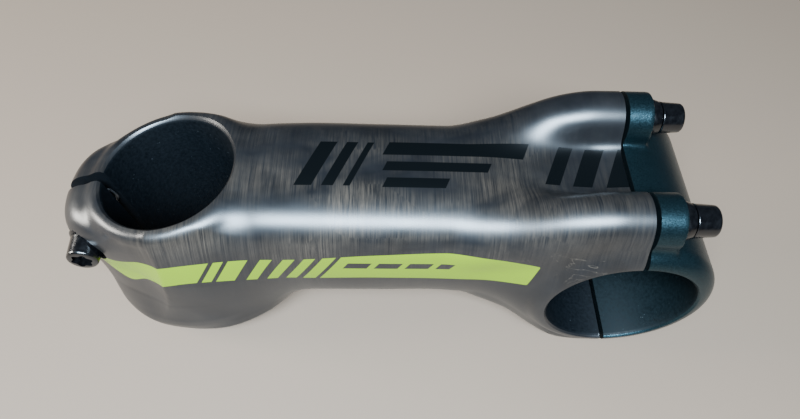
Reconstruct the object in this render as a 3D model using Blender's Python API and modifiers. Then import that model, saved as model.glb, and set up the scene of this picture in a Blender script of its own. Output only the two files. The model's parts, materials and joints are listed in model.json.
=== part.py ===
"""Bicycle handlebar stem: a moulded carbon stem body with a four-bolt alloy faceplate.

Everything is laid out in the stem's own layout frame: X runs along the extension from the
steerer axis to the handlebar axis, Y is the handlebar axis (+Y is the rider's left) and Z is up.
Its origin is where the steerer axis crosses the extension line. One empty then pitches the
whole stem to the attitude in which it lies on a table, and sets it down on Z = 0.
"""
import math

import bmesh
import bpy
from mathutils import Euler, Matrix, Vector

MM = 0.001

# driving dimensions, in millimetres
STEM_LENGTH = 95.0        # steerer axis to handlebar axis
STEM_ANGLE = 10.0         # degrees the extension drops from square to the steerer
REST_PITCH = 2.76         # degrees the extension rises when the stem lies on a table
STEERER_R = 14.3          # 1 1/8 inch steerer, 28.6 mm bore
STACK = 38.0              # height of the steerer clamp
BAR_R = 15.9              # 31.8 mm handlebar bore
CLAMP_HALF_WIDTH = 21.5   # half the width of the handlebar clamp
PARTING_X = 95.25         # where the parting plane crosses the extension line
PARTING_TILT = 2.0        # degrees the plane's top leans back
PARTING_GAP = 1.0
SLIT_WIDTH = 2.4
GAP = 0.3                 # clearance kept between separate pieces

BOLT_Y = 13.8             # faceplate bolts, from the middle plane
BOLT_Z = 23.2             # faceplate bolts, above and below the handlebar axis
BOSS_UPPER_R = 5.6
BOSS_LOWER_R = 4.6
SEAT_X = 100.3            # flat seats of the faceplate's washers

THREAD_R = 2.35           # M5 shank, drawn as a plain rod
CLEARANCE_R = 2.8         # plain hole for an M5 bolt
HEAD_R = 3.55
HEAD_HEIGHT = 5.0
SOCKET_R = 2.0
SOCKET_DEPTH = 2.4
WASHER_R = 4.1
FRONT_WASHER = 2.2        # thickness of the tall washers under the faceplate bolts
PINCH_WASHER = 1.0
INSERT_R = 3.5
INSERT_BORE_R = 2.65
FRONT_BOLT_LENGTH = 16.0
FRONT_INSERT_LENGTH = 9.0

PINCH_X = -19.0           # pinch bolts, behind the steerer axis
PINCH_Z = 10.7            # pinch bolts, above and below the middle of the steerer clamp
PINCH_SEAT_Y = 9.0
PINCH_BOLT_LENGTH = 18.0
PINCH_INSERT_LENGTH = 6.6

MATERIALS = {
    "carbon": ((0.045, 0.046, 0.055), 0.42, 0.0),
    "faceplate_alloy": ((0.045, 0.075, 0.075), 0.45, 0.8),
    "black_steel": ((0.012, 0.012, 0.013), 0.25, 0.9),
    "insert_alloy": ((0.55, 0.55, 0.56), 0.35, 1.0),
}


def clear_scene():
    for obj in list(bpy.data.objects):
        bpy.data.objects.remove(obj, do_unlink=True)


def make_collection(name):
    collection = bpy.data.collections.new(name)
    bpy.context.scene.collection.children.link(collection)
    return collection


def make_material(name):
    color, roughness, metallic = MATERIALS[name]
    material = bpy.data.materials.new(name)
    material.use_nodes = True
    shader = material.node_tree.nodes["Principled BSDF"]
    shader.inputs["Base Color"].default_value = (*color, 1.0)
    shader.inputs["Roughness"].default_value = roughness
    shader.inputs["Metallic"].default_value = metallic
    return material


clear_scene()
PARTS = make_collection("handlebar_stem")
CUTTERS = make_collection("stem_cutters")
SLOTS = {name: make_material(name) for name in MATERIALS}


def make_empty(name, location, pitch_degrees, parent=None):
    empty = bpy.data.objects.new(name, None)
    PARTS.objects.link(empty)
    empty.location = Vector(location) * MM
    empty.rotation_euler = Euler((0.0, math.radians(pitch_degrees), 0.0))
    empty.parent = parent
    return empty


# the table attitude carries the layout frame, and in it the steerer axis and the parting plane lean
TABLE = make_empty("table_attitude", (0, 0, 0), -REST_PITCH)
STEERER = make_empty("steerer_axis", (0, 0, 0), -STEM_ANGLE, TABLE)
PARTING = make_empty("parting_plane", (PARTING_X, 0, 0), -PARTING_TILT, TABLE)


def finish_mesh(name, bm, parent, collection, location=(0, 0, 0), material=None):
    bmesh.ops.recalc_face_normals(bm, faces=bm.faces)
    bmesh.ops.scale(bm, vec=(MM, MM, MM), verts=bm.verts)
    mesh = bpy.data.meshes.new(name)
    bm.to_mesh(mesh)
    bm.free()
    obj = bpy.data.objects.new(name, mesh)
    collection.objects.link(obj)
    obj.parent = parent
    obj.location = Vector(location) * MM
    if material:
        mesh.materials.append(SLOTS[material])
    if collection is CUTTERS:
        obj.hide_render = True
        obj.display_type = "WIRE"
    return obj


def smooth(obj, degrees=35):
    obj.data.shade_smooth()
    obj.data.set_sharp_from_angle(angle=math.radians(degrees))
    return obj


def oriented(axis):
    """A rotation that takes the Z axis of a primitive onto X, Y or Z, with its sign."""
    turns = {
        "+X": Matrix.Rotation(math.radians(90), 4, "Y"),
        "-X": Matrix.Rotation(math.radians(-90), 4, "Y"),
        "+Y": Matrix.Rotation(math.radians(-90), 4, "X"),
        "-Y": Matrix.Rotation(math.radians(90), 4, "X"),
        "+Z": Matrix.Identity(4),
    }
    return turns[axis]


def rod(name, axis, start, length, radius, parent, segments=24):
    """A plain cylinder cutter from start, along axis."""
    bm = bmesh.new()
    bmesh.ops.create_cone(
        bm, cap_ends=True, segments=segments, radius1=radius, radius2=radius, depth=length
    )
    bmesh.ops.translate(bm, vec=(0, 0, length / 2), verts=bm.verts)
    bmesh.ops.rotate(bm, matrix=oriented(axis), verts=bm.verts)
    return finish_mesh(name, bm, parent, CUTTERS, start)


def block(name, low, high, parent):
    """A box cutter between two corners."""
    bm = bmesh.new()
    bmesh.ops.create_cube(bm, size=1.0)
    bmesh.ops.scale(bm, vec=Vector(high) - Vector(low), verts=bm.verts)
    bmesh.ops.translate(bm, vec=(Vector(high) + Vector(low)) / 2, verts=bm.verts)
    return finish_mesh(name, bm, parent, CUTTERS)


def turned(name, profile, axis, parent, collection, location=(0, 0, 0), material=None,
           closed=False, steps=48):
    """Turn a profile of (radius, height) points, given from top to bottom, about an axis."""
    bm = bmesh.new()
    verts = [bm.verts.new((radius * MM, 0.0, height * MM)) for radius, height in profile]
    for first, second in zip(verts, verts[1:]):
        bm.edges.new((first, second))
    if closed:
        bm.edges.new((verts[-1], verts[0]))
    mesh = bpy.data.meshes.new(name)
    bm.to_mesh(mesh)
    bm.free()
    obj = bpy.data.objects.new(name, mesh)
    collection.objects.link(obj)
    obj.parent = parent
    obj.location = Vector(location) * MM
    obj.rotation_euler = oriented(axis).to_euler()
    screw = obj.modifiers.new("turn", "SCREW")
    screw.axis = "Z"
    screw.steps = steps
    screw.render_steps = steps
    screw.use_merge_vertices = True
    screw.merge_threshold = 0.00001
    if material:
        mesh.materials.append(SLOTS[material])
    if collection is CUTTERS:
        obj.hide_render = True
        obj.display_type = "WIRE"
    return obj


def loft(name, rings, parent, collection, material=None):
    """Skin a row of closed rings that all have the same number of points."""
    bm = bmesh.new()
    rows = [[bm.verts.new(point) for point in ring] for ring in rings]
    count = len(rows[0])
    for row, following in zip(rows, rows[1:]):
        for i in range(count):
            j = (i + 1) % count
            bm.faces.new((row[i], row[j], following[j], following[i]))
    bm.faces.new(list(reversed(rows[0])))
    bm.faces.new(rows[-1])
    return finish_mesh(name, bm, parent, collection, material=material)


def boolean(obj, tool, operation):
    modifier = obj.modifiers.new(f"{operation.lower()}_{tool.name}", "BOOLEAN")
    modifier.operation = operation
    modifier.solver = "EXACT"
    modifier.object = tool
    return modifier


def oval_ring(x, half_width, widest_z, top_z, bottom_z, upper_power, lower_power, count=36):
    """One cross-section of the extension: a superellipse with unlike upper and lower halves."""
    ring = []
    for i in range(count):
        angle = 2 * math.pi * i / count
        c, s = math.cos(angle), math.sin(angle)
        power = upper_power if s >= 0 else lower_power
        reach = top_z - widest_z if s >= 0 else widest_z - bottom_z
        y = half_width * math.copysign(abs(c) ** (2 / power), c)
        z = widest_z + reach * math.copysign(abs(s) ** (2 / power), s)
        ring.append((x, y, z))
    return ring


def round_ring(x, y, z, radius, count=20):
    return [
        (
            x,
            y + radius * math.cos(2 * math.pi * i / count),
            z + radius * math.sin(2 * math.pi * i / count),
        )
        for i in range(count)
    ]


def extension_loft():
    """The extension from the steerer clamp to the handlebar clamp, flush with the top rim."""
    # x, half width, height of the widest line, top, bottom, upper and lower squareness
    stations = [
        (4.0, 16.4, 7.0, 19.7, -16.5, 3.0, 2.2),
        (14.0, 16.7, 8.0, 21.4, -16.4, 3.0, 2.2),
        (20.0, 17.0, 8.0, 22.0, -16.2, 3.1, 2.2),
        (42.0, 17.0, 8.0, 22.1, -16.0, 3.1, 2.2),
        (60.0, 17.0, 8.0, 22.0, -16.1, 3.1, 2.2),
        (66.0, 17.3, 7.0, 21.8, -16.8, 3.2, 2.3),
        (72.0, 18.6, 5.0, 21.2, -17.8, 3.6, 2.6),
        (78.0, 20.4, 2.5, 20.7, -19.6, 4.2, 3.6),
        (84.0, 21.3, 0.5, 20.4, -20.3, 5.0, 5.0),
        (90.0, 21.5, 0.0, 20.2, -20.4, 6.0, 6.0),
        (98.0, 21.5, 0.0, 20.2, -20.4, 6.0, 6.0),
    ]
    rings = [oval_ring(*station) for station in stations]
    return loft("stem_body", rings, TABLE, PARTS, "carbon")


def boss_loft(name, side, up, radius):
    """A bolt boss that swells out of the extension and runs forward to the parting plane."""
    # x, then the centre line's distance from the middle plane and height, and the girth
    upper_rise = [
        (62.0, 10.5, 14.2, 0.89),
        (68.0, 11.6, 16.6, 0.96),
        (74.0, 12.7, 19.0, 1.0),
        (80.0, 13.6, 21.4, 1.0),
        (86.0, BOLT_Y, 22.8, 1.0),
        (92.0, BOLT_Y, BOLT_Z, 1.0),
        (98.0, BOLT_Y, BOLT_Z, 1.0),
    ]
    lower_rise = [
        (68.0, 9.0, 10.5, 0.87),
        (74.0, 10.0, 14.0, 0.95),
        (80.0, 12.0, 18.5, 1.0),
        (86.0, 13.4, 22.0, 1.0),
        (90.0, BOLT_Y, BOLT_Z, 1.0),
        (98.0, BOLT_Y, BOLT_Z, 1.0),
    ]
    rise = upper_rise if up > 0 else lower_rise
    rings = [round_ring(x, side * y, up * z, radius * grow) for x, y, z, grow in rise]
    return loft(name, rings, TABLE, CUTTERS)


def steerer_collar():
    half = STACK / 2
    profile = [
        (0.0, half),
        (15.9, half),
        (16.7, half - 0.4),
        (17.3, half - 1.2),
        (17.7, half - 3.0),
        (19.2, -half + 3.0),
        (19.1, -half + 1.4),
        (18.3, -half),
        (0.0, -half),
    ]
    return turned("steerer_collar", profile, "+Z", STEERER, CUTTERS, steps=56)


def rear_block():
    """The two pinch ears and the waist between them, as one rounded block before it is slit."""
    side = [(2.0, 15.4), (-9.0, 16.0), (-14.0, 14.8), (-18.5, 12.6), (-21.8, 10.3),
            (-24.0, 7.4), (-25.0, 4.0)]
    outline = side + [(x, -y) for x, y in reversed(side)]
    # height along the steerer axis, and how far the outline swells there about its pivot
    girths = [
        (-19.0, 0.84), (-18.3, 0.95), (-16.8, 1.04), (-14.5, 1.08), (-11.0, 1.06), (-6.0, 0.98),
        (-2.0, 0.93), (2.0, 0.92), (6.0, 0.95), (10.0, 1.0), (13.0, 0.99), (15.5, 0.94),
        (17.0, 0.87), (18.0, 0.76), (18.3, 0.66),
    ]
    pivot = -6.0
    rings = [
        [(pivot + (x - pivot) * girth, y * girth, z) for x, y in outline]
        for z, girth in girths
    ]
    return loft("rear_block", rings, STEERER, CUTTERS)


def bar_barrel(name, collection, material=None):
    """The turned outside of the handlebar clamp, with a flat rim round each end of the bore."""
    half = [
        (0.0, CLAMP_HALF_WIDTH),
        (17.6, CLAMP_HALF_WIDTH),
        (19.1, CLAMP_HALF_WIDTH - 0.9),
        (20.1, CLAMP_HALF_WIDTH - 2.4),
        (20.3, CLAMP_HALF_WIDTH - 4.4),
        (19.9, 6.0),
    ]
    profile = half + [(radius, -height) for radius, height in reversed(half)]
    return turned(name, profile, "+Y", TABLE, collection, (STEM_LENGTH, 0, 0), material, steps=56)


def bore_cutter(name, radius, half_length, flare, axis, parent, location=(0, 0, 0), steps=56):
    """A through hole whose two ends open out by a small chamfer."""
    beyond = 4.0
    profile = [
        (0.0, half_length + beyond),
        (radius + flare + beyond, half_length + beyond),
        (radius, half_length - flare),
        (radius, -half_length + flare),
        (radius + flare + beyond, -half_length - beyond),
        (0.0, -half_length - beyond),
    ]
    return turned(name, profile, axis, parent, CUTTERS, location, steps=steps)


def pinch_sides():
    """Name, side of the bolt's head and height of each pinch bolt; their heads alternate."""
    return (("upper", -1, PINCH_Z), ("lower", 1, -PINCH_Z))


def front_corners():
    """Name, side and up sign of each faceplate bolt."""
    return (
        ("upper_right", -1, 1),
        ("upper_left", 1, 1),
        ("lower_right", -1, -1),
        ("lower_left", 1, -1),
    )


def insert_mouth(up):
    """Where a front insert's mouth lies: just behind the body's leaning front face."""
    lean = (BOLT_Z + up * INSERT_R) * math.tan(math.radians(PARTING_TILT))
    return PARTING_X - PARTING_GAP / 2 - up * lean - 0.2


def stem_body():
    body = extension_loft()
    for name, side, up in front_corners():
        radius = BOSS_UPPER_R if up > 0 else BOSS_LOWER_R
        boolean(body, boss_loft(f"boss_{name}", side, up, radius), "UNION")
    boolean(body, steerer_collar(), "UNION")
    boolean(body, rear_block(), "UNION")
    boolean(body, bar_barrel("body_barrel", CUTTERS), "UNION")

    half_gap = PARTING_GAP / 2
    boolean(body, block("front_cut", (-half_gap, -40, -40), (40, 40, 40), PARTING), "DIFFERENCE")
    bar = bore_cutter(
        "bar_bore_body", BAR_R, CLAMP_HALF_WIDTH, 0.5, "+Y", TABLE, (STEM_LENGTH, 0, 0)
    )
    boolean(body, bar, "DIFFERENCE")
    boolean(body, bore_cutter("steerer_bore", STEERER_R, STACK / 2, 0.4, "+Z", STEERER), "DIFFERENCE")
    half_slit = SLIT_WIDTH / 2
    slit = block("pinch_slit", (-40, -half_slit, -30), (-5, half_slit, 30), STEERER)
    boolean(body, slit, "DIFFERENCE")

    for name, side, up in front_corners():
        depth = FRONT_INSERT_LENGTH + GAP
        start = (insert_mouth(up) + 5, side * BOLT_Y, up * BOLT_Z)
        pocket = rod(f"pocket_{name}", "-X", start, depth + 5, INSERT_R + GAP, TABLE)
        boolean(body, pocket, "DIFFERENCE")

    for name, side, z in pinch_sides():
        seat = rod(f"seat_{name}", "+Y" if side > 0 else "-Y", (PINCH_X, side * PINCH_SEAT_Y, z),
                   10, WASHER_R + GAP, STEERER)
        boolean(body, seat, "DIFFERENCE")
        hole = rod(f"pinch_hole_{name}", "-Y" if side > 0 else "+Y",
                   (PINCH_X, side * 14.0, z), 14.0, CLEARANCE_R, STEERER)
        boolean(body, hole, "DIFFERENCE")
        pocket = rod(f"pinch_pocket_{name}", "-Y" if side > 0 else "+Y",
                     (PINCH_X, 0, z), half_slit + PINCH_INSERT_LENGTH + GAP, INSERT_R + GAP, STEERER)
        boolean(body, pocket, "DIFFERENCE")
    return smooth(body)


def faceplate():
    """A half ring round the handlebar, barrel-ended, with a bolt boss at each corner."""
    plate = bar_barrel("faceplate", PARTS, "faceplate_alloy")
    back = PARTING_X + PARTING_GAP / 2
    for name, side, up in front_corners():
        radius = BOSS_UPPER_R if up > 0 else BOSS_LOWER_R
        centre = (back - 5, side * BOLT_Y, up * BOLT_Z)
        boss = rod(f"plate_boss_{name}", "+X", centre, SEAT_X - back + 5, radius, TABLE, segments=28)
        boolean(plate, boss, "UNION")
        inner = side * BOLT_Y - radius * 0.97
        outer = side * BOLT_Y + radius * 0.97
        low, high = sorted((up * 12.0, up * BOLT_Z))
        web = block(f"plate_web_{name}", (back - 5, inner, low), (SEAT_X, outer, high), TABLE)
        boolean(plate, web, "UNION")
    half_gap = PARTING_GAP / 2
    boolean(plate, block("back_cut", (-60, -40, -40), (half_gap, 40, 40), PARTING), "DIFFERENCE")
    bar = bore_cutter(
        "bar_bore_plate", BAR_R, CLAMP_HALF_WIDTH, 0.5, "+Y", TABLE, (STEM_LENGTH, 0, 0)
    )
    boolean(plate, bar, "DIFFERENCE")
    for name, side, up in front_corners():
        start = (back - 6, side * BOLT_Y, up * BOLT_Z)
        boolean(plate, rod(f"plate_hole_{name}", "+X", start, 20, CLEARANCE_R, TABLE), "DIFFERENCE")
        seat = rod(f"plate_seat_{name}", "+X", (SEAT_X, side * BOLT_Y, up * BOLT_Z), 20,
                   WASHER_R + GAP, TABLE)
        boolean(plate, seat, "DIFFERENCE")
    return smooth(plate)


def bolt(name, length, axis, parent, location):
    """A cap screw whose head sits beyond location along axis, and whose shank runs back."""
    profile = [
        (0.0, HEAD_HEIGHT),
        (HEAD_R - 0.7, HEAD_HEIGHT),
        (HEAD_R - 0.25, HEAD_HEIGHT - 0.4),
        (HEAD_R, 0.0),
        (THREAD_R, 0.0),
        (THREAD_R, -length + 0.6),
        (THREAD_R - 0.5, -length),
        (0.0, -length),
    ]
    screw = turned(name, profile, axis, parent, PARTS, location, "black_steel", steps=24)
    bm = bmesh.new()
    bmesh.ops.create_cone(
        bm, cap_ends=True, segments=6, radius1=SOCKET_R, radius2=SOCKET_R, depth=2 * SOCKET_DEPTH
    )
    bmesh.ops.translate(bm, vec=(0, 0, HEAD_HEIGHT), verts=bm.verts)
    socket = finish_mesh(f"{name}_socket", bm, parent, CUTTERS, location)
    socket.rotation_euler = oriented(axis).to_euler()
    boolean(screw, socket, "DIFFERENCE")
    return smooth(screw)


def washer(name, thickness, axis, parent, location):
    """A washer with a coned rim, whose underside is at location."""
    profile = [
        (HEAD_R + 0.1, thickness),
        (WASHER_R, thickness * 0.4),
        (WASHER_R, 0.0),
        (INSERT_BORE_R, 0.0),
        (INSERT_BORE_R, thickness),
    ]
    ring = turned(name, profile, axis, parent, PARTS, location, "black_steel",
                  closed=True, steps=24)
    return smooth(ring)


def insert(name, length, axis, parent, location):
    """A threaded alloy sleeve bonded into the carbon, with its mouth at location."""
    profile = [
        (INSERT_R, 0.0),
        (INSERT_R, -length),
        (INSERT_BORE_R, -length),
        (INSERT_BORE_R, 0.0),
    ]
    sleeve = turned(name, profile, axis, parent, PARTS, location, "insert_alloy",
                    closed=True, steps=24)
    return smooth(sleeve)


def front_fasteners():
    washer_x = SEAT_X + GAP
    head_x = washer_x + FRONT_WASHER + GAP
    for name, side, up in front_corners():
        y, z = side * BOLT_Y, up * BOLT_Z
        bolt(f"faceplate_bolt_{name}", FRONT_BOLT_LENGTH, "+X", TABLE, (head_x, y, z))
        washer(f"faceplate_washer_{name}", FRONT_WASHER, "+X", TABLE, (washer_x, y, z))
        insert(f"faceplate_insert_{name}", FRONT_INSERT_LENGTH, "+X", TABLE,
               (insert_mouth(up), y, z))


def pinch_fasteners():
    for name, side, z in pinch_sides():
        outward = "+Y" if side > 0 else "-Y"
        washer_y = side * (PINCH_SEAT_Y + GAP)
        head_y = side * (PINCH_SEAT_Y + 2 * GAP + PINCH_WASHER)
        mouth_y = -side * SLIT_WIDTH / 2
        bolt(f"pinch_bolt_{name}", PINCH_BOLT_LENGTH, outward, STEERER, (PINCH_X, head_y, z))
        washer(f"pinch_washer_{name}", PINCH_WASHER, outward, STEERER, (PINCH_X, washer_y, z))
        insert(f"pinch_insert_{name}", PINCH_INSERT_LENGTH, outward, STEERER,
               (PINCH_X, mouth_y, z))


def set_down():
    """Put the middle of the bounding box's underside at the origin, so the stem lies on Z = 0."""
    bpy.context.view_layer.update()
    depsgraph = bpy.context.evaluated_depsgraph_get()
    points = []
    for obj in PARTS.objects:
        if obj.type != "MESH":
            continue
        shape = obj.evaluated_get(depsgraph)
        mesh = shape.to_mesh()
        points.extend(obj.matrix_world @ vertex.co for vertex in mesh.vertices)
        shape.to_mesh_clear()
    low = Vector(min(point[i] for point in points) for i in range(3))
    high = Vector(max(point[i] for point in points) for i in range(3))
    TABLE.location = (-(low.x + high.x) / 2, -(low.y + high.y) / 2, -low.z)
    bpy.context.view_layer.update()


stem_body()
faceplate()
front_fasteners()
pinch_fasteners()
set_down()
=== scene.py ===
"""The looks of the handlebar stem: blended carbon body, blasted alloy faceplate, black fasteners.

The stem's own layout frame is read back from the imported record. In it X runs along the extension
from the steerer axis to the handlebar axis, Y is the handlebar axis (+Y is the rider's left) and
Z is up. Shapes below are in millimetres in that frame, or in the steerer's frame, which leans
back from it by the stem's angle.
"""

import json
import math

import bmesh
import bpy
import numpy as np
from mathutils import Matrix, Vector


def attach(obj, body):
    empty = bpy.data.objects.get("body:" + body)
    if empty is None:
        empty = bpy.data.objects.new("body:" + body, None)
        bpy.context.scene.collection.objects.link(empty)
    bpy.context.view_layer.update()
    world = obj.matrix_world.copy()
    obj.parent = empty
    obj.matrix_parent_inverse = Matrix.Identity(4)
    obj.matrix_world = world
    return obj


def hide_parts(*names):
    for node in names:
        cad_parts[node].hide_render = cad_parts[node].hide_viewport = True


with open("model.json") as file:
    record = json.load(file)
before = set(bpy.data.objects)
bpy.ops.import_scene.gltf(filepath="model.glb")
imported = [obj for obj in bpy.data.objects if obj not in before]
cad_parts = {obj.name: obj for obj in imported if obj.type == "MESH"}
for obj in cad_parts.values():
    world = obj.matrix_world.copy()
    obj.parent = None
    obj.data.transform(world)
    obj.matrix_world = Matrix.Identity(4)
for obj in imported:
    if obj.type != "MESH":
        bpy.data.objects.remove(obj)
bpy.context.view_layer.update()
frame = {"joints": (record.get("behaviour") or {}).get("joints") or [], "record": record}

MM = 0.001

# driving dimensions of the stem, in millimetres
STEM_LENGTH = 95.0        # steerer axis to handlebar axis
STEM_ANGLE = math.radians(10.0)    # the extension's drop from square to the steerer
STEERER_R = 14.3
STACK = 38.0              # height of the steerer clamp
BAR_R = 15.9
BARREL_R = 20.26          # outside of the handlebar clamp
BARREL_ROUNDING = 3.8     # of its end rims
CLAMP_HALF_WIDTH = 21.5
PARTING_X = 95.25         # where the parting plane crosses the extension line
PARTING_TILT = math.radians(2.0)
PARTING_GAP = 1.0
SLIT_WIDTH = 2.4
GAP = 0.3                 # clearance kept between separate pieces
BOLT_Y = 13.8             # faceplate bolts, from the middle plane
BOLT_Z = 23.2             # faceplate bolts, above and below the handlebar axis
BOSS_UPPER_R = 5.6
BOSS_LOWER_R = 4.6
SEAT_X = 100.3            # flat seats of the faceplate's washers
CLEARANCE_R = 2.8         # plain hole for an M5 bolt
WASHER_R = 4.1
FRONT_WASHER = 2.2        # thickness of the tall washers under the faceplate bolts
PINCH_WASHER = 1.0
HEAD_R = 3.55
HEAD_HEIGHT = 5.0
INSERT_R = 3.5
INSERT_BORE_R = 2.65
FRONT_BOLT_LENGTH = 16.0
FRONT_INSERT_LENGTH = 9.0
PINCH_X = -19.0           # pinch bolts, behind the steerer axis
PINCH_Z = 10.7            # pinch bolts, above and below the middle of the steerer clamp
PINCH_SEAT_Y = 9.0
PINCH_BOLT_LENGTH = 18.0
PINCH_INSERT_LENGTH = 6.6
THREAD_PITCH = 0.8
THREAD_R = 2.45
THREAD_DEPTH = 0.42

# each faceplate bolt's side and height, where +1 is the rider's left and the top
CORNERS = (
    ("upper_right", -1, 1),
    ("upper_left", 1, 1),
    ("lower_right", -1, -1),
    ("lower_left", 1, -1),
)
# each pinch bolt, the side that its head is on and its height
PINCHES = (("upper", -1, PINCH_Z), ("lower", 1, -PINCH_Z))


# ---- frames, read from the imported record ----

JOINTS = {joint["name"]: joint for joint in frame["joints"]}
MOUNTS = {mount["name"]: mount for mount in frame["record"]["mounts"]}


def basis(origin, x_axis, y_axis, z_axis):
    matrix = Matrix.Identity(4)
    for column, axis in enumerate((x_axis, y_axis, z_axis, origin)):
        for row in range(3):
            matrix[row][column] = axis[row]
    return matrix


def layout_frame():
    """The layout frame's place in the world, from the faceplate's slide and its four bolts."""
    along = Vector(JOINTS["faceplate_slide"]["axis"]).normalized()
    across = Vector((0.0, 1.0, 0.0))
    seats = [Vector(JOINTS[f"faceplate_bolt_{name}_turn"]["pos_m"]) for name, _, _ in CORNERS]
    middle = sum(seats, Vector()) / len(seats)
    return basis(middle - along * SEAT_X * MM, along, across, along.cross(across))


LAYOUT = layout_frame()
LEFT = Vector((0.0, 1.0, 0.0))
STEERER_UP = Vector(MOUNTS["steerer_clamp_top"]["axis"]).normalized()
STEERER = basis(LAYOUT.translation, LEFT.cross(STEERER_UP), LEFT, STEERER_UP)
PARTING = (
    LAYOUT
    @ Matrix.Translation((PARTING_X * MM, 0.0, 0.0))
    @ Matrix.Rotation(-PARTING_TILT, 4, "Y")
)


# ---- distance fields: negative inside, in millimetres ----

def flowing(at, table):
    """Interpolate a station table's columns along its first, smooth through every station."""
    table = np.asarray(table, float)
    knots = table[:, 0]
    values = table[:, 1:]
    slopes = np.gradient(values, knots, axis=0)
    at = np.clip(at, knots[0], knots[-1])
    low = np.clip(np.searchsorted(knots, at) - 1, 0, len(knots) - 2)
    span = (knots[low + 1] - knots[low])[:, None]
    t = (at[:, None] - knots[low][:, None]) / span
    start = (1 + 2 * t) * (1 - t) ** 2 * values[low] + t * (1 - t) ** 2 * span * slopes[low]
    end = t * t * (3 - 2 * t) * values[low + 1] + t * t * (t - 1) * span * slopes[low + 1]
    return (start + end).T


def joined(a, b, fillet):
    """The union of two fields, with a concave fillet where they meet."""
    near = np.maximum(fillet - np.abs(a - b), 0.0)
    return np.minimum(a, b) - near * near / (4 * fillet)


def trimmed(a, b, rounding):
    """What two fields share, with a rounded edge where they meet."""
    near = np.maximum(rounding - np.abs(a - b), 0.0)
    return np.maximum(a, b) + near * near / (4 * rounding)


def to_steerer(points):
    """Layout coordinates turned into the steerer's frame."""
    c, s = math.cos(STEM_ANGLE), math.sin(STEM_ANGLE)
    x, y, z = points.T
    return x * c + z * s, y, z * c - x * s


def rounded_drum(radial, axial, radius, half_length, rounding):
    """A round drum with rounded rims, from distances off its axis and along it."""
    out_r = radial - (radius - rounding)
    out_a = np.abs(axial) - (half_length - rounding)
    outside = np.hypot(np.maximum(out_r, 0.0), np.maximum(out_a, 0.0))
    return outside + np.minimum(np.maximum(out_r, out_a), 0.0) - rounding


# x, half width, height of the widest line, top, bottom, upper and lower squareness
EXTENSION = (
    (0.0, 15.6, 6.0, 19.0, -16.4, 2.8, 2.2),
    (8.0, 16.3, 7.4, 20.4, -16.4, 2.9, 2.2),
    (16.0, 16.8, 8.0, 21.6, -16.3, 3.0, 2.2),
    (24.0, 17.0, 8.0, 22.0, -16.2, 3.1, 2.2),
    (42.0, 17.0, 8.0, 22.1, -16.0, 3.1, 2.2),
    (58.0, 17.0, 8.0, 22.0, -16.1, 3.1, 2.2),
    (66.0, 17.4, 7.0, 21.8, -16.8, 3.2, 2.3),
    (72.0, 18.6, 5.0, 21.2, -17.8, 3.6, 2.6),
    (78.0, 20.2, 2.5, 20.6, -19.4, 4.2, 3.4),
    (84.0, 21.0, 0.5, 20.1, -20.0, 5.0, 4.6),
    (90.0, 21.2, 0.0, 19.9, -20.1, 6.0, 5.5),
    (98.0, 21.2, 0.0, 19.9, -20.1, 6.0, 5.5),
)

# x, then each boss's distance from the middle plane, its height and its radius
UPPER_BOSS = (
    (52.0, 8.6, 9.6, 0.8),
    (57.0, 9.9, 11.8, 3.2),
    (62.0, 10.6, 14.0, 4.9),
    (68.0, 11.5, 16.6, 5.4),
    (74.0, 12.7, 19.2, 5.6),
    (80.0, 13.5, 21.5, 5.6),
    (86.0, 13.8, 22.9, 5.6),
    (92.0, BOLT_Y, BOLT_Z, BOSS_UPPER_R),
    (98.0, BOLT_Y, BOLT_Z, BOSS_UPPER_R),
)
LOWER_BOSS = (
    (60.0, 8.4, 6.0, 1.5),
    (64.0, 8.9, 8.2, 3.6),
    (68.0, 9.2, 10.5, 4.2),
    (74.0, 10.0, 14.0, 4.4),
    (80.0, 12.0, 18.5, BOSS_LOWER_R),
    (86.0, 13.4, 22.0, BOSS_LOWER_R),
    (92.0, BOLT_Y, BOLT_Z, BOSS_LOWER_R),
    (98.0, BOLT_Y, BOLT_Z, BOSS_LOWER_R),
)

# the pinch ears' outline: degrees round from the rear, the reach from a point on the axis and
# how much further it reaches at the bottom
EARS_PIVOT = -6.0
EARS = (
    (0.0, 18.6, 0.2), (12.0, 18.8, 0.2), (22.0, 18.9, 0.3), (33.0, 18.6, 0.4), (45.0, 17.6, 1.0),
    (62.0, 16.4, 1.9), (79.0, 15.9, 2.1), (117.0, 16.5, 0.9), (180.0, 14.5, 0.0),
)
# how far that outline swells with the height along the steerer axis
EARS_SWELL = (
    (-19.0, 1.03), (-14.5, 1.08), (-11.0, 1.06), (-6.0, 1.02), (-2.0, 0.995), (2.0, 0.98),
    (6.0, 0.98), (10.0, 0.995), (13.0, 0.995), (19.0, 0.96),
)


def extension(points):
    """A loft of lopsided ovals, from the steerer axis forwards."""
    x, y, z = points.T
    half, widest, top, bottom, upper, lower = flowing(x, EXTENSION)
    rise = z - widest
    reach = np.where(rise > 0, top - widest, widest - bottom)
    power = np.where(rise > 0, upper, lower)
    level = (np.abs(y / half) ** power + np.abs(rise / reach) ** power) ** (1 / power)
    side = np.hypot(y, rise) * (1 - 1 / np.maximum(level, 1e-4))
    return np.maximum(side, -x)


def boss(points, side, up):
    """One bolt boss, rising out of the extension as it runs forwards."""
    x, y, z = points.T
    table = UPPER_BOSS if up > 0 else LOWER_BOSS
    out, height, radius = flowing(x, table)
    return np.maximum(np.hypot(y - side * out, z - up * height) - radius, table[0][0] - x)


def collar(points):
    """The round steerer clamp, a little wider at its foot and with a crisper lower rim."""
    x, y, z = to_steerer(points)
    radius = np.interp(z, (-16.0, 16.0), (19.3, 17.4))
    rounding = np.interp(z, (-1.0, 1.0), (1.1, 2.0))
    return rounded_drum(np.hypot(x, y), z, radius, STACK / 2, rounding)


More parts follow.
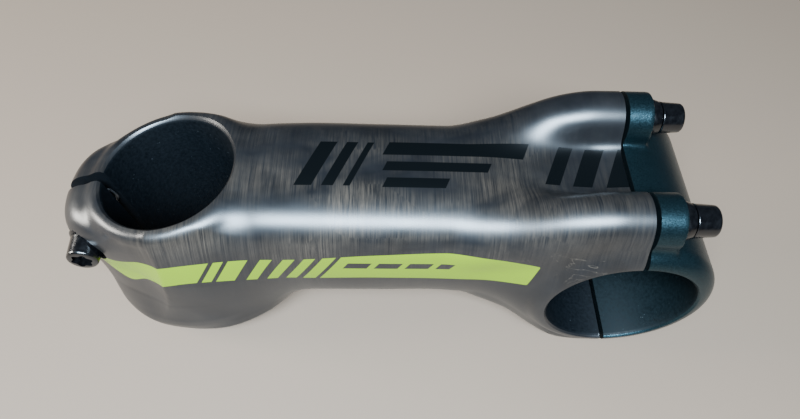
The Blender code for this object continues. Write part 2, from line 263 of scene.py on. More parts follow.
def ears(points):
    """The two pinch ears and the waist between them, as one block before it is slit."""
    x, y, z = to_steerer(points)
    back = EARS_PIVOT - x
    angle = np.degrees(np.arctan2(np.abs(y), back))
    reach, skirt = flowing(angle, EARS)
    (swell,) = flowing(z, EARS_SWELL)
    low = np.interp(z, (-15.0, -5.0), (1.0, 0.0))
    outline = np.hypot(back, y) - reach * swell - skirt * low
    slab = np.abs(z + 0.3) - (STACK / 2 - 0.4)
    rounding = 6.0 - 4.0 * low * np.interp(angle, (30.0, 60.0), (0.0, 1.0))
    return trimmed(outline, slab, rounding)


def barrel(points):
    """The outside of the whole handlebar clamp."""
    x, y, z = points.T
    radial = np.hypot(x - STEM_LENGTH, z)
    return rounded_drum(radial, y, BARREL_R, CLAMP_HALF_WIDTH, BARREL_ROUNDING)


def body_field(points):
    # the ears flow softly into the collar's lower half and meet it crisply at both rims
    height = to_steerer(points)[2]
    blend = np.interp(height, (-19.0, -13.0, -6.0, 4.0), (1.6, 4.5, 4.5, 1.6))
    rear = joined(collar(points), ears(points), blend)
    # the extension's fillet narrows towards the top, and less so on the shoulders
    fillet = np.interp(points[:, 2], (4.0, 19.0), (6.0, 2.0))
    fillet += np.interp(np.abs(points[:, 1]), (7.0, 15.0), (0.0, 5.0))
    shape = joined(rear, extension(points), fillet)
    shape = joined(shape, barrel(points), 1.0)
    for _, side, up in CORNERS:
        shape = joined(shape, boss(points, side, up), 5.5 if up > 0 else 4.0)
    shape = np.maximum(shape, np.abs(points[:, 1]) - CLAMP_HALF_WIDTH)
    return np.maximum(shape, points[:, 0] - PARTING_X - 2)


def faceplate_field(points):
    """The front of the barrel with four bolt columns, each on a web."""
    x, y, z = points.T
    shape = barrel(points)
    for _, side, up in CORNERS:
        radius = BOSS_UPPER_R if up > 0 else BOSS_LOWER_R
        out = np.abs(y * side - BOLT_Y)
        end = x - SEAT_X
        column = trimmed(np.hypot(out, up * z - BOLT_Z) - radius, end, 0.5)
        web = trimmed(out - radius * 0.97, np.abs(up * z - 17.5) - 5.8, 1.0)
        shape = joined(shape, joined(column, trimmed(web, end, 0.5), 0.8), 1.4)
    shape = np.maximum(shape, np.abs(y) - CLAMP_HALF_WIDTH)
    return np.maximum(shape, PARTING_X - 3 - x)


# ---- meshes ----

def net(field, low, high, step):
    """Quads on the zero surface of a field: one corner in each grid cell that it crosses."""
    axes = [np.arange(a, b + step, step) for a, b in zip(low, high)]
    grid = np.stack(np.meshgrid(*axes, indexing="ij"), -1)
    inside = field(grid.reshape(-1, 3)).reshape(grid.shape[:3]) < 0
    cells = np.zeros([n - 1 for n in inside.shape], int)
    for i, j, k in np.ndindex(2, 2, 2):
        cells += inside[i:i + cells.shape[0], j:j + cells.shape[1], k:k + cells.shape[2]]
    crossed = (cells > 0) & (cells < 8)
    number = np.full(crossed.shape, -1)
    number[crossed] = np.arange(crossed.sum())
    corners = grid[:-1, :-1, :-1][crossed] + step / 2

    quads = []
    for axis in range(3):
        first = np.moveaxis(inside, axis, 0)
        around = np.moveaxis(number, axis, 0)
        start, end = first[:-1, 1:-1, 1:-1], first[1:, 1:-1, 1:-1]
        ring = np.stack(
            (around[:, :-1, :-1], around[:, 1:, :-1], around[:, 1:, 1:], around[:, :-1, 1:]), -1
        )
        # moving axis 1 to the front swaps the handedness of the other two
        out = (start & ~end) if axis != 1 else (~start & end)
        back = (~start & end) if axis != 1 else (start & ~end)
        quads.append(ring[out])
        quads.append(ring[back][:, ::-1])
    return corners, np.concatenate(quads)


def settle(points, field, rounds=3, reach=0.02):
    """Slide points along the field's slope onto its zero surface."""
    for _ in range(rounds):
        value = field(points)
        slope = np.stack(
            [field(points + np.eye(3)[i] * reach) - field(points - np.eye(3)[i] * reach)
             for i in range(3)],
            -1,
        ) / (2 * reach)
        steep = np.maximum((slope * slope).sum(1), 0.2)
        points = points - slope * (value / steep)[:, None]
    return points


def relaxed(points, quads):
    """Move each corner halfway to the mean of its neighbours, to even out the quads."""
    total = np.zeros_like(points)
    count = np.zeros(len(points))
    for i in range(4):
        a, b = quads[:, i], quads[:, (i + 1) % 4]
        for here, there in ((a, b), (b, a)):
            np.add.at(total, here, points[there])
            np.add.at(count, here, 1)
    return (points + total / count[:, None]) / 2


def new_object(name, mesh):
    obj = bpy.data.objects.new(name, mesh)
    bpy.context.scene.collection.objects.link(obj)
    return obj


def from_bmesh(name, bm):
    mesh = bpy.data.meshes.new(name)
    bm.to_mesh(mesh)
    bm.free()
    return new_object(name, mesh)


def smooth(mesh, degrees):
    mesh.shade_smooth()
    mesh.set_sharp_from_angle(angle=math.radians(degrees))


def blended(name, field, low, high, step):
    """A closed mesh on a field's zero surface, its quads evened out."""
    points, quads = net(field, low, high, step)
    points = settle(points, field)
    for _ in range(3):
        points = settle(relaxed(points, quads), field, rounds=2)
    mesh = bpy.data.meshes.new(name)
    mesh.from_pydata(points * MM, [], quads.tolist())
    mesh.update()
    obj = new_object(name, mesh)
    obj.matrix_world = LAYOUT
    return obj


def lathe(name, profile, steps=64, ring=False, shape=None):
    """Turn (radius, height) points about Z, top first; shape may vary the radius by angle."""
    angles = [2 * math.pi * i / steps for i in range(steps)]
    bm = bmesh.new()
    rows = []
    for radius, height in profile:
        if radius == 0:
            pole = bm.verts.new((0.0, 0.0, height * MM))
            rows.append([pole] * steps)
            continue
        row = []
        for angle in angles:
            reach = shape(radius, height, angle) if shape else radius
            point = (reach * MM * math.cos(angle), reach * MM * math.sin(angle), height * MM)
            row.append(bm.verts.new(point))
        rows.append(row)
    if ring:
        rows.append(rows[0])
    for upper, lower in zip(rows, rows[1:]):
        for i in range(steps):
            j = (i + 1) % steps
            corners = [upper[i], lower[i], lower[j], upper[j]]
            bm.faces.new(list(dict.fromkeys(corners)))
    bmesh.ops.recalc_face_normals(bm, faces=bm.faces)
    return from_bmesh(name, bm)


def block(name, low, high):
    bm = bmesh.new()
    bmesh.ops.create_cube(bm, size=MM)
    bmesh.ops.scale(bm, vec=Vector(high) - Vector(low), verts=bm.verts)
    bmesh.ops.translate(bm, vec=(Vector(high) + Vector(low)) / 2 * MM, verts=bm.verts)
    return from_bmesh(name, bm)


def placed(obj, home, point, axis=(0, 0, 1)):
    """Stand obj at a point of a frame, with its Z along an axis of that frame."""
    turn = Vector((0, 0, 1)).rotation_difference(Vector(axis)).to_matrix().to_4x4()
    obj.matrix_world = home @ Matrix.Translation(Vector(point) * MM) @ turn
    return obj


def drill(radius, length, home, start, axis, steps=64):
    """A plain round cutter that begins at start."""
    tool = lathe("drill", [(0, length), (radius, length), (radius, 0), (0, 0)], steps)
    return placed(tool, home, start, axis)


def reamer(radius, half_length, flare, home, point, axis):
    """A through hole whose mouths open out by a small round-edged chamfer."""
    beyond = 3.0
    half = [
        (0.0, half_length + beyond),
        (radius + flare + beyond, half_length + beyond),
        (radius + flare, half_length),
        (radius + flare * 0.35, half_length - flare * 0.6),
        (radius, half_length - flare * 1.5),
    ]
    profile = half + [(reach, -height) for reach, height in reversed(half)]
    return placed(lathe("reamer", profile, 160), home, point, axis)


def cut(obj, tools):
    """Take the tools away from obj for good, then delete them."""
    for tool in tools:
        modifier = obj.modifiers.new("cut", "BOOLEAN")
        modifier.operation = "DIFFERENCE"
        modifier.solver = "MANIFOLD"
        modifier.object = tool
    bpy.context.view_layer.update()
    depsgraph = bpy.context.evaluated_depsgraph_get()
    mesh = bpy.data.meshes.new_from_object(obj.evaluated_get(depsgraph))
    mesh.name = obj.name
    obj.modifiers.clear()
    obj.data = mesh
    for tool in tools:
        bpy.data.objects.remove(tool)
    return obj


def clamp_cutters(front):
    """The parting cut and the handlebar bore, for the body or for the faceplate in front of it."""
    half_gap = PARTING_GAP / 2
    if front:
        low, high = (-60, -40, -40), (half_gap, 40, 40)
    else:
        low, high = (-half_gap, -40, -40), (40, 40, 40)
    parting = block("parting_cut", low, high)
    parting.matrix_world = PARTING
    bore = reamer(BAR_R, CLAMP_HALF_WIDTH, 0.7, LAYOUT, (STEM_LENGTH, 0, 0), (0, 1, 0))
    return [parting, bore]


def insert_mouth(up):
    """The x of an insert's mouth, just inside the body's leaning parting face."""
    lean = (BOLT_Z + up * INSERT_R) * math.tan(PARTING_TILT)
    return PARTING_X - PARTING_GAP / 2 - up * lean - 0.2


def stem_body():
    body = blended("carbon_body", body_field, (-28, -22.8, -31), (99, 22.8, 31), 0.55)
    slit = block("slit", (-40, -SLIT_WIDTH / 2, -30), (-5, SLIT_WIDTH / 2, 30))
    slit.matrix_world = STEERER
    tools = clamp_cutters(front=False)
    tools += [reamer(STEERER_R, STACK / 2, 0.6, STEERER, (0, 0, 0), (0, 0, 1)), slit]
    for _, side, up in CORNERS:
        mouth = (insert_mouth(up) + 5, side * BOLT_Y, up * BOLT_Z)
        tools.append(drill(INSERT_R + GAP, FRONT_INSERT_LENGTH + GAP + 5, LAYOUT, mouth, (-1, 0, 0)))
    for _, side, z in PINCHES:
        inward = (0, -side, 0)
        seat = (PINCH_X, side * PINCH_SEAT_Y, z)
        tools.append(drill(WASHER_R + GAP, 10, STEERER, seat, (0, side, 0)))
        tools.append(drill(CLEARANCE_R, 14, STEERER, (PINCH_X, side * 14, z), inward))
        sleeve_depth = SLIT_WIDTH / 2 + PINCH_INSERT_LENGTH + GAP
        tools.append(drill(INSERT_R + GAP, sleeve_depth, STEERER, (PINCH_X, 0, z), inward))
    return cut(body, tools)


def faceplate():
    plate = blended("faceplate_shell", faceplate_field, (90, -22.6, -30), (118, 22.6, 31), 0.45)
    tools = clamp_cutters(front=True)
    for _, side, up in CORNERS:
        point = (90.0, side * BOLT_Y, up * BOLT_Z)
        tools.append(drill(CLEARANCE_R, 20, LAYOUT, point, (1, 0, 0)))
        seat = (SEAT_X, side * BOLT_Y, up * BOLT_Z)
        tools.append(drill(WASHER_R + GAP, 20, LAYOUT, seat, (1, 0, 0)))
    return cut(plate, tools)


def bolt(name, length, home, point, axis):
    """A cap screw with a rolled thread and a six-lobed socket, its head beyond point."""
    turns = math.floor((length - 2.2) / THREAD_PITCH)
    per_turn = 8
    top = -length + 0.9 + turns * THREAD_PITCH

    def swirl(radius, height, angle):
        if radius != THREAD_R or not -length + 0.8 < height < top:
            return radius
        phase = (height / THREAD_PITCH - angle / (2 * math.pi)) % 1.0
        run_out = min((top - height) / THREAD_PITCH, (height + length - 0.8) / THREAD_PITCH, 1.0)
        return radius - THREAD_DEPTH * run_out * (1 - abs(2 * phase - 1))

    rows = [
        (0.0, HEAD_HEIGHT), (HEAD_R - 1.15, HEAD_HEIGHT), (HEAD_R - 0.75, HEAD_HEIGHT - 0.04),
        (HEAD_R - 0.5, HEAD_HEIGHT - 0.16), (HEAD_R - 0.35, HEAD_HEIGHT - 0.36),
        (HEAD_R - 0.29, HEAD_HEIGHT - 0.7), (HEAD_R - 0.06, 0.42), (HEAD_R, 0.22),
        (HEAD_R - 0.03, 0.08), (HEAD_R - 0.12, 0.0), (THREAD_R + 0.02, 0.0),
    ]
    steps = turns * per_turn
    rows.append((THREAD_R, top + 0.02))
    rows += [(THREAD_R, top - i * THREAD_PITCH / per_turn) for i in range(steps + 1)]
    rows += [(THREAD_R - 0.45, -length + 0.1), (THREAD_R - 0.6, -length), (0.0, -length)]
    screw = lathe(name, rows, 48, shape=swirl)
    socket = lathe(
        "socket", [(0, 2), (2.05, 2), (2.05, -2.4), (1.0, -2.9), (0, -3.1)], 60,
        shape=lambda radius, height, angle: radius * (1 + 0.12 * math.cos(6 * angle)),
    )
    socket.matrix_world = Matrix.Translation((0, 0, HEAD_HEIGHT * MM))
    cut(screw, [socket])
    smooth(screw.data, 38)
    return placed(screw, home, point, axis)


def washer(name, thickness, home, point, axis):
    """A washer with a coned rim and eased edges."""
    collar_r = HEAD_R + 0.1
    profile = [
        (collar_r - 0.12, thickness), (collar_r, thickness - 0.08),
        (WASHER_R - 0.06, thickness * 0.42), (WASHER_R, thickness * 0.32), (WASHER_R, 0.1),
        (WASHER_R - 0.1, 0.0), (INSERT_BORE_R + 0.1, 0.0), (INSERT_BORE_R, 0.1),
        (INSERT_BORE_R, thickness - 0.1), (INSERT_BORE_R + 0.1, thickness),
    ]
    ring = lathe(name, profile, 64, ring=True)
    smooth(ring.data, 35)
    return placed(ring, home, point, axis)


def insert(name, length, home, point, axis):
    """A bonded alloy sleeve with a grooved outside, its mouth at point."""
    profile = [(INSERT_R - 0.25, 0.0), (INSERT_R, -0.25)]
    pitch = 1.4
    deep_r = INSERT_R - 0.2
    for i in range(int(length / pitch)):
        z = -0.6 - i * pitch
        profile += [(INSERT_R, z), (deep_r, z - 0.2), (deep_r, z - 0.5), (INSERT_R, z - 0.7)]
    profile += [(INSERT_R, -length), (INSERT_BORE_R, -length)]
    profile += [(INSERT_BORE_R, -0.4), (INSERT_BORE_R + 0.3, 0.0)]
    sleeve = lathe(name, profile, 48, ring=True)
    smooth(sleeve.data, 30)
    return placed(sleeve, home, point, axis)


# ---- markings, drawn by the carbon material ----

# the side stripe: x and the heights of its lower and upper edges
STRIPE = (
    (-19.0, 3.0, 6.0), (-15.0, -2.0, 5.5), (-8.0, 2.0, 9.0), (0.0, 5.0, 11.0),
    (20.0, 3.5, 11.0), (40.0, 4.0, 13.0), (64.0, 4.0, 14.0), (76.0, 5.5, 13.0),
)
STRIPE_END = 73.4         # where its slanted front end is STRIPE_END_Z high
STRIPE_END_Z = 5.0
STRIPE_END_LEAN = 0.16
FLANK_Y = 9.0             # the stripe is only on the body's sides, further out than this
# start x, length, low z and high z of the dark bars across the stripe and the dashes inside it
STRIPE_BARS = (
    (0.5, 1.0, 0.0, 20.0), (3.5, 1.0, 0.0, 20.0), (8.5, 2.6, 0.0, 20.0), (13.5, 2.2, 0.0, 20.0),
    (18.0, 1.8, 0.0, 20.0), (22.0, 1.4, 0.0, 20.0), (26.0, 1.0, 0.0, 20.0),
    (34.0, 5.0, 8.1, 10.2), (40.5, 5.0, 8.1, 10.2), (47.0, 5.0, 8.1, 10.2), (53.5, 3.0, 8.1, 10.2),
)
STRIPE_SLANT = 0.55
# the top's abstract slanted bars: start x, length, low y, high y
TOP_BARS = (
    (24.0, 3.6, -5.6, 6.0), (29.6, 2.4, -5.6, 6.0), (34.0, 1.4, -5.6, 6.0),
    (42.0, 30.0, 2.6, 6.2), (42.0, 22.0, -1.6, 0.8), (42.0, 13.0, -5.8, -3.4),
    (76.0, 3.2, -3.6, 6.2), (82.0, 4.2, -3.6, 6.2), (89.2, 9.0, -3.6, 6.2),
)
TOP_SLANT = 0.42
TOP_FROM = 17.0           # the top's bars are only on what is higher than this
EDGE = 0.05               # half the width over which a printed edge fades


def gathered(items, name):
    """One row of three numbers for each vertex or face of a mesh."""
    rows = np.empty(len(items) * 3)
    items.foreach_get(name, rows)
    return rows.reshape(-1, 3)


def mark_stripe(obj):
    """Write each corner's distance to the side stripe's outline on the carbon body."""
    mesh = obj.data
    x, y, z = gathered(mesh.vertices, "co").T / MM
    lower, upper = flowing(x, STRIPE)
    front = x - STRIPE_END_LEAN * (z - STRIPE_END_Z) - STRIPE_END
    stripe = np.maximum(np.maximum(lower - z, z - upper), np.maximum(front, STRIPE[0][0] - x))
    far = 9.0
    stripe = np.where(np.abs(y) > FLANK_Y, stripe, far)
    layer = mesh.attributes.new("stripe", "FLOAT", "POINT")
    layer.data.foreach_set("value", np.clip(stripe, -far, far))


def mark_cuts(obj, body):
    """Give the faces of bores, pockets and cuts the second material slot."""
    mesh = obj.data
    points = gathered(mesh.polygons, "center") / MM
    across = np.abs(gathered(mesh.polygons, "normal")[:, 1])
    x, y, z = points.T
    # how far off a cut surface a face's middle may still lie
    on_bore, on_pocket, on_flat = 0.12, 0.1, 0.02
    cuts = np.hypot(x - STEM_LENGTH, z) < BAR_R + on_bore
    c, s = math.cos(PARTING_TILT), math.sin(PARTING_TILT)
    cuts |= np.abs((x - PARTING_X) * c + z * s) < PARTING_GAP / 2 + on_flat
    if body:
        sx, sy, sz = to_steerer(points)
        cuts |= np.hypot(sx, sy) < STEERER_R + on_bore
        cuts |= (np.abs(sy) < SLIT_WIDTH / 2 + on_flat) & (sx < 0) & (across > 0.9)
        sleeve_end = SLIT_WIDTH / 2 + PINCH_INSERT_LENGTH + GAP + on_pocket
        for _, side, pinch_z in PINCHES:
            away = np.hypot(sx - PINCH_X, sz - pinch_z)
            out = sy * side
            pocket = (out > SLIT_WIDTH / 2) & (out < PINCH_SEAT_Y + 4)
            cuts |= pocket & (away < WASHER_R + GAP + on_pocket)
            sleeve = (out < 0) & (out > -sleeve_end)
            cuts |= sleeve & (away < INSERT_R + GAP + on_pocket)
    hole_r = INSERT_R if body else CLEARANCE_R
    holed = x > PARTING_X - FRONT_INSERT_LENGTH - 2 * PARTING_GAP
    for _, side, up in CORNERS:
        away = np.hypot(y - side * BOLT_Y, z - up * BOLT_Z)
        cuts |= holed & (away < hole_r + GAP + on_flat)
    mesh.polygons.foreach_set("material_index", cuts.astype(np.int32))


# ---- materials ----

def new_material(name):
    material = bpy.data.materials.new(name)
    material.use_nodes = True
    tree = material.node_tree
    return material, tree, tree.nodes["Principled BSDF"]


def node(tree, kind, **settings):
    made = tree.nodes.new(kind)
    for key, value in settings.items():
        setattr(made, key, value)
    return made


def maths(tree, operation, a, b=None):
    made = node(tree, "ShaderNodeMath", operation=operation)
    for socket, value in zip(made.inputs, (a, b)):
        if value is None:
            continue
        if isinstance(value, (int, float)):
            socket.default_value = value
        else:
            tree.links.new(value, socket)
    return made.outputs[0]


def mixed(tree, factor, a, b):
    """From colour a to colour b as the factor goes from 0 to 1."""
    made = node(tree, "ShaderNodeMix", data_type="RGBA")
    for socket, value in ((made.inputs[0], factor), (made.inputs[6], a), (made.inputs[7], b)):
        if isinstance(value, tuple):
            socket.default_value = (*value, 1.0)
        elif isinstance(value, (int, float)):
            socket.default_value = value
        else:
            tree.links.new(value, socket)
    return made.outputs[2]


def span(tree, value, low, high, to_low=0.0, to_high=1.0):
    """A value's way from low to high, as a number from to_low to to_high."""
    made = node(tree, "ShaderNodeMapRange", clamp=True)
    for i, number in enumerate((low, high, to_low, to_high)):
        made.inputs[i + 1].default_value = number
    tree.links.new(value, made.inputs[0])
    return made.outputs[0]


def coordinates(tree, stretch=(1.0, 1.0, 1.0), turn=(0.0, 0.0, 0.0), shift=(0.0, 0.0, 0.0)):
    """The piece's own coordinates in millimetres, stretched and then turned."""
    place = node(tree, "ShaderNodeAttribute", attribute_name="own_place")
    mapping = node(tree, "ShaderNodeMapping", vector_type="POINT")
    mapping.inputs["Rotation"].default_value = turn
    mapping.inputs["Scale"].default_value = stretch
    mapping.inputs["Location"].default_value = shift
    tree.links.new(place.outputs["Vector"], mapping.inputs["Vector"])
    return mapping.outputs["Vector"]


def noise(tree, vector, scale, detail, roughness, distortion=0.0):
    made = node(tree, "ShaderNodeTexNoise")
    made.inputs["Scale"].default_value = scale
    made.inputs["Detail"].default_value = detail
    made.inputs["Roughness"].default_value = roughness
    made.inputs["Distortion"].default_value = distortion
    tree.links.new(vector, made.inputs["Vector"])
    return made.outputs["Fac"]


def patches(tree, vector):
    """A random grey for each patch of a cut-ply pattern, a patch to each unit or so."""
    made = node(tree, "ShaderNodeTexVoronoi", distance="CHEBYCHEV", feature="SMOOTH_F1")
    made.inputs["Smoothness"].default_value = 0.35
    made.inputs["Scale"].default_value = 1.0
    tree.links.new(vector, made.inputs["Vector"])
    split = node(tree, "ShaderNodeSeparateColor")
    tree.links.new(made.outputs["Color"], split.inputs[0])
    return split.outputs[0]


def finished(tree, shader, colour, roughness, relief, strength, distance):
    """Wire up a material's colour, its roughness and its bump, whose distance is in metres."""
    tree.links.new(colour, shader.inputs["Base Color"])
    tree.links.new(roughness, shader.inputs["Roughness"])
    bump = node(tree, "ShaderNodeBump")
    bump.inputs["Strength"].default_value = strength
    bump.inputs["Distance"].default_value = distance
    tree.links.new(relief, bump.inputs["Height"])
    tree.links.new(bump.outputs["Normal"], shader.inputs["Normal"])


def inside_of(tree, name):
    """One where the named distance is negative."""
    layer = node(tree, "ShaderNodeAttribute", attribute_name=name)
    return span(tree, layer.outputs["Fac"], EDGE, -EDGE)


def within(tree, value, middle, half):
    """One where a value is within half of the middle."""
    away = maths(tree, "ABSOLUTE", maths(tree, "SUBTRACT", value, middle))
    return span(tree, away, half + EDGE, half - EDGE)


def slanted_bars(tree, along, up, bars, slant):
    """One inside any of the bars, whose ends lean forwards as they rise."""
    leaned = maths(tree, "SUBTRACT", along, maths(tree, "MULTIPLY", up, slant))
    marked = None
    for start, length, low, high in bars:
        ends = within(tree, leaned, start - slant * low + length / 2, length / 2)
        sides = within(tree, up, (low + high) / 2, (high - low) / 2)
        bar = maths(tree, "MINIMUM", ends, sides)
        marked = maths(tree, "MAXIMUM", marked, bar) if marked else bar
    return marked


def carbon_material():
    """Cross-wise fibre streaks with a few turned plies, under the stripe and the printed bars."""
    material, tree, shader = new_material("carbon_clearcoat")
    place = node(tree, "ShaderNodeSeparateXYZ")
    tree.links.new(coordinates(tree), place.inputs[0])
    along_x, across_y, up_z = place.outputs

    def scaled(a, b):
        return maths(tree, "MULTIPLY", a, b)

    cross_fibres = noise(tree, coordinates(tree, (1.0, 0.022, 0.022)), 3.6, 6.0, 0.75)
    slanted = coordinates(tree, (0.9, 0.04, 0.04), turn=(0, 0, 0.55))
    slant_fibres = noise(tree, slanted, 3.0, 5.0, 0.72)
    wander = noise(tree, coordinates(tree), 0.12, 3.0, 0.6)
    ply = patches(tree, coordinates(tree, (0.050, 0.066, 0.066)))
    drifting = coordinates(tree, (0.045, 0.07, 0.07), shift=(0.3, 0.0, 0.0))
    cloud = noise(tree, drifting, 1.0, 3.0, 0.6, 0.5)

    turned_ply = span(tree, maths(tree, "ADD", ply, scaled(wander, 0.3)), 0.84, 0.90)
    both = node(tree, "ShaderNodeMix", data_type="FLOAT")
    factor, straight, turned = both.inputs[0], both.inputs[2], both.inputs[3]
    tree.links.new(turned_ply, factor)
    tree.links.new(cross_fibres, straight)
    tree.links.new(slant_fibres, turned)
    streaks = span(tree, both.outputs[0], 0.36, 0.70)

    # the streaks show best on the top's right half, and fade to its left and the bosses; their fade
    # down the flanks is painted shade, darkening the sides below the top
    across = span(tree, across_y, 9.0, -6.0, 0.30, 1.0)
    along = span(tree, along_x, 60.0, 84.0, 1.0, 0.35)
    # painted shade: the pale streaks dim down the flanks so the sides read darker
    flank_shade_fade = span(tree, up_z, 9.0, 17.0, 0.28, 1.0)
    pattern_and_flank_shade = scaled(scaled(across, along), flank_shade_fade)
    lifted = scaled(streaks, scaled(span(tree, cloud, 0.34, 0.66), pattern_and_flank_shade))
    lifted = scaled(lifted, span(tree, ply, 0.0, 0.9, 0.45, 1.0))

    # hair-thin pale fibre edges, here and there by the handlebar clamp's sides
    wandering = coordinates(tree, (0.10, 0.10, 0.10), shift=(2.0, 5.0, 1.0))
    winding = noise(tree, wandering, 1.0, 4.0, 0.62, 1.2)
    scattered = coordinates(tree, (0.07, 0.07, 0.07), shift=(9.0, 0.0, 4.0))
    where = noise(tree, scattered, 1.0, 2.0, 0.5)
    hair = span(tree, maths(tree, "ABSOLUTE", maths(tree, "SUBTRACT", winding, 0.5)), 0.010, 0.0)
    hair = scaled(hair, span(tree, where, 0.50, 0.60))
    hair = scaled(hair, span(tree, along_x, 64.0, 72.0))
    hair = scaled(hair, span(tree, up_z, 21.0, 17.0))
    lifted = maths(tree, "MAXIMUM", lifted, scaled(hair, 0.5))

    tone = span(tree, wander, 0.3, 0.7)
    dark = mixed(tree, tone, (0.0028, 0.0030, 0.0036), (0.0058, 0.0058, 0.0064))
    colour = mixed(tree, lifted, dark, (0.072, 0.055, 0.040))
    top_bars = slanted_bars(tree, along_x, across_y, TOP_BARS, TOP_SLANT)
    sheen_bar = scaled(top_bars, span(tree, up_z, TOP_FROM - EDGE, TOP_FROM + EDGE))
    colour = mixed(tree, sheen_bar, colour, (0.0005, 0.0009, 0.0011))
    stripe_bars = slanted_bars(tree, along_x, up_z, STRIPE_BARS, STRIPE_SLANT)
    paint = scaled(inside_of(tree, "stripe"), maths(tree, "SUBTRACT", 1.0, stripe_bars))
    colour = mixed(tree, paint, colour, (0.140, 0.212, 0.0))

    satin = span(tree, wander, 0.3, 0.7, 0.30, 0.35)
    printed = maths(tree, "MAXIMUM", sheen_bar, paint)
    bare = scaled(maths(tree, "SUBTRACT", 1.0, printed), satin)
    roughness = maths(tree, "ADD", bare, scaled(printed, 0.27))
    relief = maths(tree, "ADD", cross_fibres, scaled(printed, 0.8))
    shader.inputs["Specular IOR Level"].default_value = 0.5
    finished(tree, shader, colour, roughness, relief, 0.10, 0.00004)
    return material


def bare_and_shaded_material(name, colour, speckle):
    """Raw bore and cut faces: dark, matt and a little dusty; the darkness is partly the raw surface
    and partly painted shade inside the bores, slit and pockets.
    """
    material, tree, shader = new_material(name)
    grain = noise(tree, coordinates(tree), 1.4, 5.0, 0.6)
    dust = span(tree, noise(tree, coordinates(tree, shift=(3.0, 1.0, 5.0)), 0.9, 2.0, 0.9), 0.71, 0.76)
    worn = tuple(1.7 * value for value in colour)
    tinted = mixed(tree, span(tree, grain, 0.3, 0.7), colour, worn)
    dusted = mixed(tree, maths(tree, "MULTIPLY", dust, 0.5), tinted, speckle)
    roughness = span(tree, grain, 0.3, 0.7, 0.5, 0.7)
    shader.inputs["Specular IOR Level"].default_value = 0.12
    finished(tree, shader, dusted, roughness, grain, 0.2, 0.00004)
    return material


def anodised_material():
    """Bead-blasted alloy with a dark teal anodised skin."""
    material, tree, shader = new_material("teal_anodised_alloy")
    blast = noise(tree, coordinates(tree), 3.2, 3.0, 0.7)
    tone = noise(tree, coordinates(tree, shift=(7.0, 0.0, 2.0)), 0.12, 3.0, 0.5)
    base = mixed(tree, span(tree, tone, 0.3, 0.7), (0.0075, 0.0195, 0.024), (0.0105, 0.0255, 0.030))
    colour = mixed(tree, span(tree, blast, 0.35, 0.7), base, (0.021, 0.043, 0.050))
    roughness = span(tree, blast, 0.3, 0.7, 0.27, 0.37)
    shader.inputs["Metallic"].default_value = 0.9
    finished(tree, shader, colour, roughness, blast, 0.5, 0.00006)
    return material


def black_steel_material():
    """Glossy black plating, slightly cloudy."""
    material, tree, shader = new_material("black_plated_steel")
    film = noise(tree, coordinates(tree), 0.9, 5.0, 0.6)
    cloudy = span(tree, film, 0.35, 0.7)
    colour = mixed(tree, cloudy, (0.0008, 0.0008, 0.0010), (0.0025, 0.0025, 0.0028))
    roughness = span(tree, film, 0.3, 0.7, 0.13, 0.27)
    shader.inputs["Specular IOR Level"].default_value = 0.6
    finished(tree, shader, colour, roughness, film, 0.15, 0.00004)
    return material


def insert_material():
    """Bright alloy with fine turning rings."""
    material, tree, shader = new_material("turned_insert_alloy")
    rings = noise(tree, coordinates(tree, (0.05, 0.05, 1.0)), 5.0, 4.0, 0.7)
    colour = mixed(tree, span(tree, rings, 0.3, 0.7), (0.46, 0.46, 0.47), (0.62, 0.62, 0.63))
    roughness = span(tree, rings, 0.3, 0.7, 0.25, 0.42)
    shader.inputs["Metallic"].default_value = 1.0
    finished(tree, shader, colour, roughness, rings, 0.3, 0.00004)
    return material


# ---- the pieces, each on its body ----

def finish_piece(obj, body, cad_node, materials):
    """Dress a piece, set its mesh in the world and hand it to its body in the frame."""
    mesh = obj.data
    mesh.materials.clear()
    for material in materials:
        mesh.materials.append(material)
    if len(materials) > 1:
        mark_cuts(obj, body=cad_node == "stem_body")
    place = gathered(mesh.vertices, "co").ravel() / MM
    mesh.attributes.new("own_place", "FLOAT_VECTOR", "POINT").data.foreach_set("vector", place)
    mesh.transform(obj.matrix_world)
    obj.matrix_world = Matrix.Identity(4)
    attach(obj, body)
    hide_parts(cad_node)


BLACK_STEEL = black_steel_material()
INSERT_ALLOY = insert_material()


def build_body():
    body = stem_body()
    mark_stripe(body)
    smooth(body.data, 32)
    # painted shade: this near-black bore colour, darker than the carbon outside, stands in for shade
    # inside the bores, slit and pockets
    bore = bare_and_shaded_material("raw_carbon_bore_in_painted_shade", (0.0003, 0.0008, 0.0013), (0.05, 0.055, 0.06))
    finish_piece(body, "stem", "stem_body", (carbon_material(), bore))


def build_faceplate():
    plate = faceplate()
    smooth(plate.data, 32)
    # painted shade: this near-black bore colour, darker than the teal outside, stands in for shade
    # inside the handlebar bore and bolt holes
    bore = bare_and_shaded_material("anodised_bore_in_painted_shade", (0.0006, 0.0022, 0.0027), (0.04, 0.05, 0.05))
    finish_piece(plate, "faceplate", "faceplate", (anodised_material(), bore))


def fasten(screw, ring, sleeve, cad, name):
    """Hand one bolt, its washer and its insert to their bodies in the frame."""
    for piece, kind in ((screw, "bolt"), (ring, "washer")):
        node_name = f"{cad}_{kind}_{name}"
        finish_piece(piece, node_name, node_name, (BLACK_STEEL,))
    finish_piece(sleeve, "stem", f"{cad}_insert_{name}", (INSERT_ALLOY,))


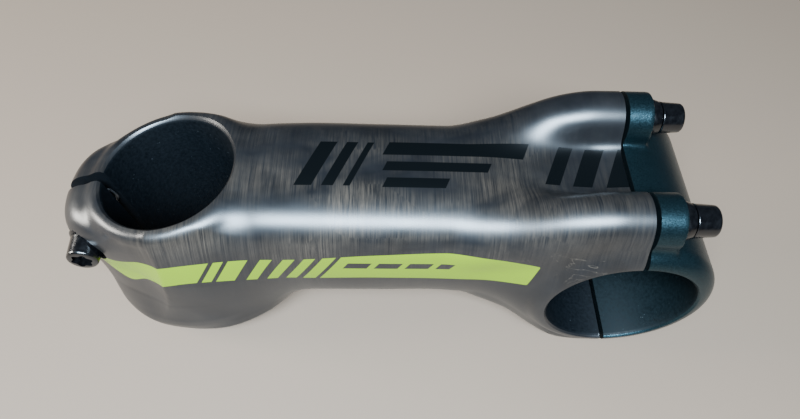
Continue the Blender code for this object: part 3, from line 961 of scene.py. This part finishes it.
def build_fasteners():
    front = (1, 0, 0)
    seat_x = SEAT_X + GAP
    head_x = seat_x + FRONT_WASHER + GAP
    for name, side, up in CORNERS:
        y, z = side * BOLT_Y, up * BOLT_Z
        mouth = (insert_mouth(up), y, z)
        screw = bolt(f"front_screw_{name}", FRONT_BOLT_LENGTH, LAYOUT, (head_x, y, z), front)
        ring = washer(f"front_washer_{name}", FRONT_WASHER, LAYOUT, (seat_x, y, z), front)
        sleeve = insert(f"front_insert_{name}", FRONT_INSERT_LENGTH, LAYOUT, mouth, front)
        fasten(screw, ring, sleeve, "faceplate", name)
    for name, side, z in PINCHES:
        outward = (0, side, 0)
        seat_y = side * (PINCH_SEAT_Y + GAP)
        head = (PINCH_X, seat_y + side * (PINCH_WASHER + GAP), z)
        mouth = (PINCH_X, -side * SLIT_WIDTH / 2, z)
        screw = bolt(f"clamp_screw_{name}", PINCH_BOLT_LENGTH, STEERER, head, outward)
        ring = washer(f"clamp_washer_{name}", PINCH_WASHER, STEERER, (PINCH_X, seat_y, z), outward)
        sleeve = insert(f"clamp_insert_{name}", PINCH_INSERT_LENGTH, STEERER, mouth, outward)
        fasten(screw, ring, sleeve, "pinch", name)


# ---- camera, light and floor ----

# where the photo looks from, in the layout's millimetres and in degrees
CAMERA_PLACE = Vector((40.7, -82.9, 125.6))
CAMERA_HEADING = -3.9     # from straight across the stem, towards the handlebar clamp
CAMERA_TILT = 34.7        # up from looking straight down
CAMERA_ROLL = 4.1
CAMERA_LENS = 28.6        # for a frame that is 36 mm wide


def camera():
    """A close wide-angle view from above the stem's right side, level with its length."""
    data = bpy.data.cameras.new("camera")
    data.sensor_width = 36.0
    data.lens = CAMERA_LENS
    data.clip_start = 0.005
    obj = new_object("camera", data)
    heading = Matrix.Rotation(math.radians(CAMERA_HEADING), 4, "Z")
    tilt = Matrix.Rotation(math.radians(CAMERA_TILT), 4, "X")
    roll = Matrix.Rotation(math.radians(CAMERA_ROLL), 4, "Z")
    place = Matrix.Translation(CAMERA_PLACE * MM)
    obj.matrix_world = LAYOUT @ place @ heading @ tilt @ roll
    bpy.context.scene.camera = obj


def area_light(name, place, aim, size, power, colour):
    data = bpy.data.lights.new(name, "AREA")
    data.shape = "RECTANGLE"
    data.size, data.size_y = size
    data.energy = power
    data.color = colour
    obj = new_object(name, data)
    obj.location = place
    obj.rotation_euler = (Vector(aim) - Vector(place)).to_track_quat("-Z", "Y").to_euler()


def studio():
    """A long soft key from above the near side, a small rear fill and a faint cool surround."""
    centre = (0.0, 0.0, 0.025)
    area_light("key", (-0.055, -0.285, 0.44), centre, (0.36, 0.17), 24.0, (0.62, 0.81, 1.0))
    area_light("rear", (-0.46, 0.0, 0.18), centre, (0.16, 0.16), 3.4, (1.0, 0.97, 0.90))
    world = bpy.data.worlds.new("studio")
    world.use_nodes = True
    background = world.node_tree.nodes["Background"]
    background.inputs["Color"].default_value = (0.62, 0.78, 1.0, 1.0)
    background.inputs["Strength"].default_value = 0.08
    bpy.context.scene.world = world


def floor():
    bm = bmesh.new()
    bmesh.ops.create_grid(bm, x_segments=2, y_segments=2, size=1.5)
    obj = from_bmesh("floor", bm)
    material, _, shader = new_material("pale_floor")
    shader.inputs["Base Color"].default_value = (0.1545, 0.1045, 0.0695, 1.0)
    shader.inputs["Roughness"].default_value = 0.7
    obj.data.materials.append(material)


build_body()
build_faceplate()
build_fasteners()
camera()
studio()
floor()
